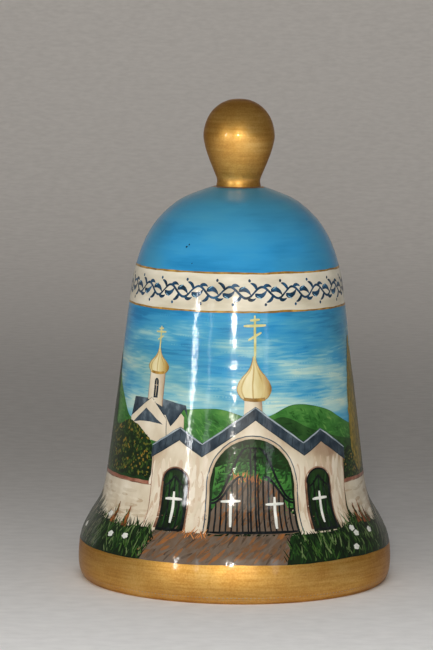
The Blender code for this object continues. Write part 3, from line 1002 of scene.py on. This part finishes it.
# --------------------------------------
# Precinct wall: a low limewashed wall that runs off both sides of the gatehouse and right round
# the back, with a brick-red coping and a thin shadow under it.
WALL_LOW = 12.0
WALL_TOP = 24.8
GATE_LEFT = -19.6
GATE_RIGHT = 27.6
coping_red = brushed("brick_red_enamel", ["7A4636", "9C6854", "B88E78"], grain=(400, 500), own_tint=0.3)
for side, start, end in (("left", -ROUND / 2, GATE_LEFT), ("right", GATE_RIGHT, ROUND / 2)):
    film(
        side + "_wall", [block(start, end, WALL_LOW, WALL_TOP)], wall_white, 17,
        tone=shade(WALL_LOW - 6, WALL_TOP + 8),
    )
    strokes(
        side + "_wall_strokes", [block(start + 1, end - 1, WALL_LOW + 1, WALL_TOP - 1.4)], wall_white, 18,
        Density=0.35, Length=3.4, Width=0.7, Angle=0.0, Spread=0.15, Seed=48, Rise=1.0,
    )
    film(side + "_coping", [block(start, end, WALL_TOP - 0.2, WALL_TOP + 0.5)], coping_red, 20)
    film(side + "_coping_shade", [block(start, end, WALL_TOP - 0.4, WALL_TOP - 0.16)], umber, 21)

# --------------------------------------
# Gatehouse: limewashed walls under three slate gables, a wide arch and a round-headed door on each
# side. A large pale-gold onion dome on a short drum stands over the middle gable.
GROUND = 14.8
MIDDLE = 3.6
GATE_CORNER = 28.2
ROOF = ((-20.4, 33.6), (-13.2, 38.0), (-7.7, 34.6), (4.3, 42.9), (15.8, 34.7), (20.8, 37.5), (28.8, 32.6))
ROOF_DEEP = 3.0
ARCH_HALF = 9.3
ARCH_SPRING = 25.6
ARCH_RISE = 10.2
DOORS = ((-13.6, 2.9), (19.2, 3.1))  # (middle, half width)
DOOR_SPRING = 25.6
DOOR_RISE = 3.0


def gate_wall_tone(x, y):
    """Rosy and deeper under the roofs and at the corners, pale over the pillars."""
    under_roof = max(0, y - np.interp(x, *zip(*ROOF)) + ROOF_DEEP + 4.5) * 0.09
    blot = noise.noise((x * 0.16, y * 0.16, 4.0))
    return 0.86 - under_roof - 0.008 * abs(x) - 0.03 * max(0, x - 13) - 0.5 * blot


gate_outline = [(GATE_LEFT, GROUND), (GATE_RIGHT - 1, GROUND), (GATE_CORNER, 31.5)]
gate_outline += [(x, y - 1.2) for x, y in reversed(ROOF[1:-1])] + [(-20.2, 32.0)]
film("gate_wall", [gate_outline], wall_white, 20, tone=gate_wall_tone)
lime_stroke = brushed(
    "limewash_stroke_enamel", ["BFA48C", "CCBBA3", "D8CCB8", "E2D9C8"], grain=(200, 160), own_tint=0.8
)
strokes(
    "gate_wall_strokes", [[(x, max(17, min(y, 30))) for x, y in gate_outline]], lime_stroke, 21,
    Density=0.55, Length=4.0, Width=0.8, Angle=1.5, Spread=0.25, Seed=50, Rise=0.8,
)
corners = (
    ((GATE_LEFT - 0.2, 32.0), (GATE_LEFT, GROUND)), ((GATE_CORNER, 31.0), (GATE_RIGHT - 1, GROUND)),
)
film("gate_wall_edges", [ribbon(between(*corner), 0.2) for corner in corners], umber, 22)
drum = [(MIDDLE - 2.0, 41.0), (MIDDLE + 2.4, 41.0), (MIDDLE + 2.2, 44.7), (MIDDLE - 1.8, 44.7)]
film("gate_drum", [drum], wall_white, 20, tone=rounded(MIDDLE, 2.3))
painted_dome("gate_dome", MIDDLE + 0.5, 44.2, 4.1, 9.7, 21)
film("gate_finial", finial(MIDDLE + 0.7, 53.2, 9.7, 0.6), pale_line, 24, amount=0.06)
under = [(x, y - ROOF_DEEP) for x, y in reversed(ROOF)]
film(
    "gate_roof", [list(ROOF) + under], slate, 23, amount=0.15,
    tone=lambda x, y: 0.36 + 0.5 * noise.noise((x * 0.35, y * 0.35, 1.0)),
)
ridge, eaves, boards = [], [], []
for (x0, y0), (x1, y1) in zip(ROOF, ROOF[1:]):
    ridge.append(ribbon(between((x0, y0 - 0.25), (x1, y1 - 0.25)), 0.34))
    eaves.append(ribbon(between((x0, y0 - ROOF_DEEP), (x1, y1 - ROOF_DEEP)), 0.22))
    for share in np.arange(0.06, 1, 2.0 / math.hypot(x1 - x0, y1 - y0)):
        x, y = x0 + (x1 - x0) * share, y0 + (y1 - y0) * share
        boards.append(ribbon(between((x, y - 0.5), (x - 0.3, y - ROOF_DEEP + 0.2), 3), 0.13))
pale_slate = brushed("pale_slate_enamel", ["74838E", "AAB6BD"], grain=(160, 900))
film("roof_edge_light", ridge, pale_slate, 25, amount=0.10)
film("roof_boards", boards, dark_glass, 24, amount=0.06)
film("roof_eaves", eaves, dark_glass, 25, amount=0.06)

# The openings: what shows through them is dark planting, a far lawn and the path beyond.
for name, more, paint, coat, tint in (
    ("jamb", 0.8, slate, 22, 0.7), ("reveal", 0.55, wall_white, 23, 0.15),
):
    film(
        "arch_" + name, [arch(MIDDLE, GROUND + 0.6, ARCH_HALF + more, ARCH_SPRING, ARCH_RISE + more)],
        paint, coat, amount=0.1, tone=lambda x, y: tint,
    )
film(
    "arch_view", [arch(MIDDLE, GROUND, ARCH_HALF, ARCH_SPRING, ARCH_RISE)], leaf_dark, 24,
    amount=0.1, tone=shade(15, 37),
)
crest = [(x, 29.4 + 1.4 * math.sin((x + 5) * 0.24)) for x in np.arange(-4.6, 12.4, 1.2)]
lawn = [(-5.3, 20.5), (12.5, 20.5), *reversed(crest)]
film("arch_lawn", [lawn], far_green, 25, amount=0.2, tone=shade(17, 40))
strokes(
    "arch_leaves", [arch(MIDDLE, 22.0, ARCH_HALF - 1.0, ARCH_SPRING, ARCH_RISE - 1.0)], near_green, 26,
    Density=2.0, Length=1.4, Width=0.42, Angle=0.7, Spread=1.2, Seed=52, Rise=1.0,
)
earth = brushed(
    "earth_enamel", ["352A22", "4E4034", "695C50", "614A36", "7C5434", "96602F"],
    grain=(260, 260), own_tint=0.75,
)
strokes(
    "arch_lawn_strokes", [arch(MIDDLE, 19.0, ARCH_HALF - 1.0, 25.0, 5.0)], far_green, 27,
    Density=0.8, Length=1.6, Width=0.4, Angle=0.5, Spread=0.7, Seed=53, Rise=0.8,
)
way = [
    (-5.4, GROUND + 0.4), (12.4, GROUND + 0.4), (12.6, 18.0), (11.0, 20.6), (9.4, 24.6), (6.2, 26.8),
    (2.4, 27.6), (-1.2, 26.8), (-3.2, 23.6), (-5.2, 19.6),
]
film("arch_path", [way], earth, 28, amount=0.25, tone=lambda x, y: 0.42)
strokes(
    "arch_path_strokes", [[(MIDDLE + (x - MIDDLE) * 0.86, max(17, y - 1.2)) for x, y in way]], earth, 29,
    Density=1.3, Length=2.6, Width=0.45, Angle=1.1, Spread=0.3, Seed=55, Rise=1.0,
)
for side, (x, half) in zip(("left", "right"), DOORS):
    jamb = arch(x, GROUND + 0.8, half + 0.55, DOOR_SPRING, DOOR_RISE + 0.5)
    film(side + "_door_jamb", [jamb], umber, 22, amount=0.1)
    view = arch(x, GROUND + 0.3, half, DOOR_SPRING, DOOR_RISE)
    film(side + "_door_view", [view], leaf_dark, 24, amount=0.08, tone=shade(14, 34))
    strokes(
        side + "_door_leaves", [arch(x, GROUND + 1.8, half - 0.6, DOOR_SPRING - 0.6, 2.4)], near_green, 25,
        Density=1.0, Length=2.6, Width=0.4, Angle=1.5, Spread=0.25, Seed=57,
    )

# --------------------------------------
# Iron gates: black lines. Two leaves with upright bars under a curved rail, a second rail that
# sweeps up to the meeting posts, and a barred leaf in each side door, each with a white cross.
GATE_LOW = 15.5
BAR = 0.42
iron = brushed("black_line_enamel", ["080A0B", "101416", "22282A"], grain=(600, 600))
white_enamel = brushed("white_enamel", ["C4C8C2", "EEEDE6"], grain=(500, 500))


def sweep(t, low, high):
    """The height of a gate's rail, from the hinge, t = 0, up to the meeting posts, t = 1."""
    return low + (high - low) * (0.5 - 0.5 * math.cos(math.pi * t)) ** 1.2


lines = []


def bar(start, end, share=1.0, ends=0.5, cuts=8):
    """Draws one straight bar. share is its width to the full one."""
    lines.append(ribbon(between(start, end, cuts), BAR * share, ends))


LEAF_WIDE = ARCH_HALF - 0.8
RAILS = ((21.6, 27.6, 0.78), (22.2, 33.8, 0.92))  # (height at the hinge, at the post, reach)
POST_TOP = RAILS[1][1]
for side in (-1, 1):
    hinge = MIDDLE + side * (ARCH_HALF - 0.25)
    for low, high, reach in RAILS:
        rail = [
            (hinge - side * LEAF_WIDE * reach * t, sweep(t, low, high)) for t in np.linspace(0, 1, 22)
        ]
        lines.append(ribbon(rail, BAR * 1.2, ends=0.8))
    low, high, reach = RAILS[0]
    for i in range(8):
        x = hinge - side * LEAF_WIDE * (i + 0.1) / 7.6
        top = sweep(min(1, abs(hinge - x) / (LEAF_WIDE * reach)), low, high)
        bar((x, GATE_LOW), (x, top), 0.9, 0.8, 12)
    bar((MIDDLE + side * 0.55, GATE_LOW), (MIDDLE + side * 0.5, POST_TOP), 1.0, 0.9, 16)
bar((MIDDLE - 1.0, POST_TOP), (MIDDLE + 1.0, POST_TOP))
bar((MIDDLE - ARCH_HALF + 0.2, GATE_LOW), (MIDDLE + ARCH_HALF - 0.2, GATE_LOW), 1.3, cuts=24)
crosses = finial(MIDDLE - 4.7, 16.6, 7.2, 0.6, slant=False)
crosses += finial(MIDDLE + 4.6, 16.2, 6.8, 0.6, slant=False)
for x, half in DOORS:
    for i in range(5):
        place = x + (half - 0.35) * (i / 2 - 1)
        top = DOOR_SPRING - 0.4 + 1.6 * (1 - abs(place - x) / half)
        bar((place, GATE_LOW), (place, top), 0.85, 0.8, 10)
    rail = [
        (x + half * 0.95 * t, DOOR_SPRING - 1.0 + 2.6 * (1 - abs(t)) ** 1.5)
        for t in np.linspace(-1, 1, 15)
    ]
    lines.append(ribbon(rail, BAR))
    bar((x - half * 0.95, GATE_LOW), (x + half * 0.95, GATE_LOW), 1.3)
    lines.append(ribbon(arch(x, GROUND + 0.6, half, DOOR_SPRING, DOOR_RISE)[1:], BAR, ends=0.9))
    crosses += finial(x, 16.8, 6.8, 0.62, slant=False)
film("iron_gates", lines, iron, 31, amount=0.08)
film("white_crosses", crosses, white_enamel, 33, amount=0.08)

# --------------------------------------
# Foreground: an earth path in slanting strokes up to the gate, long grass in single blades on both
# sides and all round the back, rust-coloured shoots and a few white flowers.
TURF_LOW = 8.35
grass = brushed(
    "grass_blade_enamel", ["060D05", "0B1809", "11260D", "1C3C16", "37581F", "76885A"],
    grain=(700, 300), own_tint=0.9,
)
path_edge = [(-19.5, TURF_LOW), (9.6, TURF_LOW), (10.6, GROUND + 0.3), (-16.8, GROUND + 0.3)]
film("front_path", [path_edge], earth, 22, amount=0.2, tone=lambda x, y: 0.4)
strokes(
    "front_path_strokes", [[(x, max(y, 10)) for x, y in path_edge]], earth, 23,
    Density=1.5, Length=3.2, Width=0.5, Angle=0.8, Spread=0.3, Seed=61,
)
turf = [
    [
        (-ROUND / 2, TURF_LOW), (-18.6, TURF_LOW), (-16.2, 13.4), (-17.2, 15.4), (-22, 15.4), (-26, 15.0),
        (-34, 15.6), (-42, 14.8), (-60, 15.2), (-76, 14.0), (-ROUND / 2, 14.6),
    ],
    [
        (9.0, TURF_LOW), (ROUND / 2, TURF_LOW), (ROUND / 2, 14.6), (76, 14.2), (60, 15.4), (44, 14.4),
        (36, 14.8), (29, 17.0), (22, 15.0), (15.5, 14.2), (11.4, 14.4),
    ],
]
film("turf", turf, leaf_dark, 25, amount=0.35, tone=lambda x, y: 0.15)
strokes(
    "grass_blades", [[(x, max(y, 9)) for x, y in edge] for edge in turf], grass, 26,
    Density=2.6, Length=2.4, Width=0.40, Angle=1.5, Spread=0.6, Seed=71, Rise=3.0,
    Root=0.35, Tip=0.6, Bend=0.4,
)
grey_green = brushed(
    "dry_grass_enamel", ["1E261E", "333E34", "525A4A", "747058"], grain=(500, 300), own_tint=0.9
)
banks = [
    [(-52, 9.3), (-31, 9.3), (-34, 15), (-42, 18.5), (-52, 17)],
    [(35, 9.3), (56, 9.3), (56, 17.5), (44, 19), (38, 16)],
]
strokes(
    "dry_grass", banks, grey_green, 28,
    Density=1.7, Length=3.4, Width=0.42, Angle=1.1, Spread=0.25, Seed=73, Root=0.35, Tip=0.5,
)
rust = brushed("rust_shoot_enamel", ["4A2A16", "8A4C26", "B8763C"], grain=(600, 300), own_tint=0.3)
SHOOTS = (
    (-28.8, 15.0, 4.6), (-24.8, 14.8, 4.4), (29.6, 15.5, 4.4), (31.8, 15.2, 4.8), (33.6, 15.0, 3.4),
    (-47, 14, 4.0), (56, 14, 4.6), (-70, 14, 4.4), (80, 14, 4.2),
)
spikes = [
    [(x - 0.8, low), (x + 0.8, low), (x + 0.12, low + tall), (x - 0.05, low + tall)]
    for x, low, tall in SHOOTS
]
film("rust_shoots", spikes, rust, 30, amount=0.25, tone=shade(14, 21))
feathers = [
    [(x - 1.1, low - 0.5), (x + 1.1, low - 0.5), (x + 0.5, low + tall * 0.7), (x - 0.5, low + tall * 0.7)]
    for x, low, tall in SHOOTS
]
strokes(
    "shoot_leaves", feathers, grass, 31,
    Density=2.2, Length=1.3, Width=0.32, Angle=1.5, Spread=0.6, Seed=74, Root=0.4, Tip=0.6,
)
FLOWERS = (
    (-30.6, 16.6), (-27.2, 12.8), (-23.0, 13.0), (25.2, 10.9), (26.6, 13.6), (25.8, 14.8), (31.6, 13.6),
    (-40, 12.6), (-55, 13.4), (44, 12.4), (52, 13.6), (68, 12.2), (-78, 12.8), (-66, 11.6), (84, 12.8),
)
PETALS = 5
petals = []
for x, y in FLOWERS:
    for i in range(PETALS):
        turn = 2 * math.pi * i / PETALS + x
        petals.append(spot(x + 0.40 * math.cos(turn), y + 0.36 * math.sin(turn), 0.42, 0.3, corners=8))
film("white_flowers", petals, white_enamel, 31, amount=0.12)
orange = brushed("orange_tuft_enamel", ["8A4E24", "B8733A", "D29A60"], grain=(600, 300), own_tint=0.5)
tufts = [
    [(-10.6, 14.0), (-5.6, 14.0), (-5.8, 15.2), (-10.4, 15.2)],
    [(-1.0, 26.0), (6.0, 25.6), (5.4, 27.6), (-0.6, 27.8)],
]
strokes(
    "orange_tufts", tufts, orange, 29,
    Density=2.4, Length=1.7, Width=0.26, Angle=1.57, Spread=0.7, Seed=75, Root=0.4, Tip=0.7,
)

# --------------------------------------
# Gilding on the shell: the same bronze-powder paint, brushed round the rim last of all, so that its
# wavering upper edge lies over the picture's foot, and a narrow collar on the crown at the knob.
GOLD_LOW = 0.35
GOLD_TOP = 8.75
rim = belt(
    "gilded_rim", lambda x: GOLD_LOW, lambda x: GOLD_TOP + waver(x, 0.16, 31), gold_paint, 1,
    rows=26, swell=32,
)
shell.data.materials.append(gold_paint)
for face in shell.data.polygons:
    if face.material_index == PAINTED and face.center.z < 1.0 * MM:
        face.material_index = GILDED
collar = belt(
    "gilded_collar", lambda x: 89.93 + waver(x, 0.08, 37), lambda x: 90.08, gold_paint, 3, rows=4
)

# --------------------------------------
# Fittings: the pin and the clapper rod are drawn brass wire, the ferrules and the washer cut and
# turned brass, and the bush moulded nylon. The bead is porcelain under the shell's clear glaze.
def brass(name, colours, roughness, grain):
    """Handled brass with draw lines along Z. grain is their number to the metre, across and along."""
    made, tree, shader = surface(name, roughness, metallic=1.0)
    place = add(tree, "TexCoord").outputs["Object"]
    line = brush_marks(tree, place, (grain[0], *grain), 3.0)
    stain = add(tree, "TexNoise", {"Vector": place, "Scale": 260.0, "Detail": 3.0})
    mixed = add(tree, "Mix", {0: 0.5, 2: line, 3: stain}, data_type="FLOAT")
    stops = [(0.36 + 0.28 * i / (len(colours) - 1), colour) for i, colour in enumerate(colours)]
    tone = add(tree, "ValToRGB", {"Fac": mixed}, stops)
    tree.links.new(tone.outputs[0], shader["Base Color"])
    rubbed = {"Value": mixed, "From Min": 0.36, "From Max": 0.64}
    rough = add(tree, "MapRange", {**rubbed, "To Min": roughness + 0.12, "To Max": roughness - 0.06})
    tree.links.new(rough.outputs[0], shader["Roughness"])
    relief = add(tree, "Bump", {"Strength": 0.4, "Distance": 0.00004, "Height": line})
    tree.links.new(relief.outputs[0], shader["Normal"])
    return made


drawn_brass = brass("drawn_brass", ["8A6A34", "B8935A", "D2B074"], 0.32, (2200, 160))
turned_brass = brass("turned_brass", ["947038", "C29C5C", "DCBB7E"], 0.26, (300, 3200))
nylon, tree, shader, place = mottled(
    "moulded_nylon", 0.48, 300.0, 2.0, [(0.3, "D6D0BE"), (0.7, "E8E4D8")]
)
grain = add(tree, "TexNoise", {"Vector": place, "Scale": 3200.0, "Detail": 2.0})
relief = add(tree, "Bump", {"Strength": 0.2, "Distance": 0.00003, "Height": grain})
tree.links.new(relief.outputs[0], shader["Normal"])
for finish, names in (
    (drawn_brass, ("eye_pin", "clapper_rod")),
    (turned_brass, ("head_washer", "upper_ferrule", "lower_ferrule")),
    (nylon, ("crown_bush",)),
    (white_glaze, ("clapper_bead",)),
):
    for name in names:
        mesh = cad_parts[name].data
        mesh.materials.clear()
        mesh.materials.append(finish)
